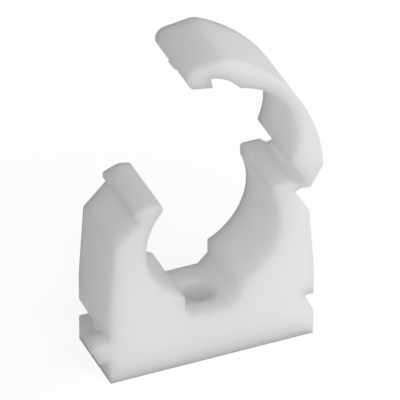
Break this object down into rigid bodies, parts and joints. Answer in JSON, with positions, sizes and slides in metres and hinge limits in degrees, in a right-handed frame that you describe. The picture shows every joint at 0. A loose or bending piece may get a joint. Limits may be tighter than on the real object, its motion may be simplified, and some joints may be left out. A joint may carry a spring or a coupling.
{
  "type": "pipe clip",
  "caption": "Hinged white plastic wall clip for a pipe: a block saddle with a round seat and a screw hole, and a curved strap on a living hinge that snaps shut over the pipe.",
  "frame": {"origin": "centre of the screw hole on the wall face", "axes": "+Z out of the wall along the screw hole, Y along the pipe, +X towards the strap's hinge"},
  "size_m": [0.04, 0.013, 0.0546],
  "materials": {
    "white_plastic": "satin"
  },
  "bodies": {
    "saddle": {"saddle": "white_plastic", "hinge_web": "white_plastic"},
    "strap": {"strap": "white_plastic"}
  },
  "joints": [
    {"name": "strap_hinge", "type": "hinge", "parent": "saddle", "child": "strap", "pos_m": [0.0145, 0, 0.02808], "axis": [0, -1, 0], "range_deg": [-80, 55.5], "stiffness_Nm_per_rad": 0.02, "deforming": ["hinge_web"]}
  ]
}
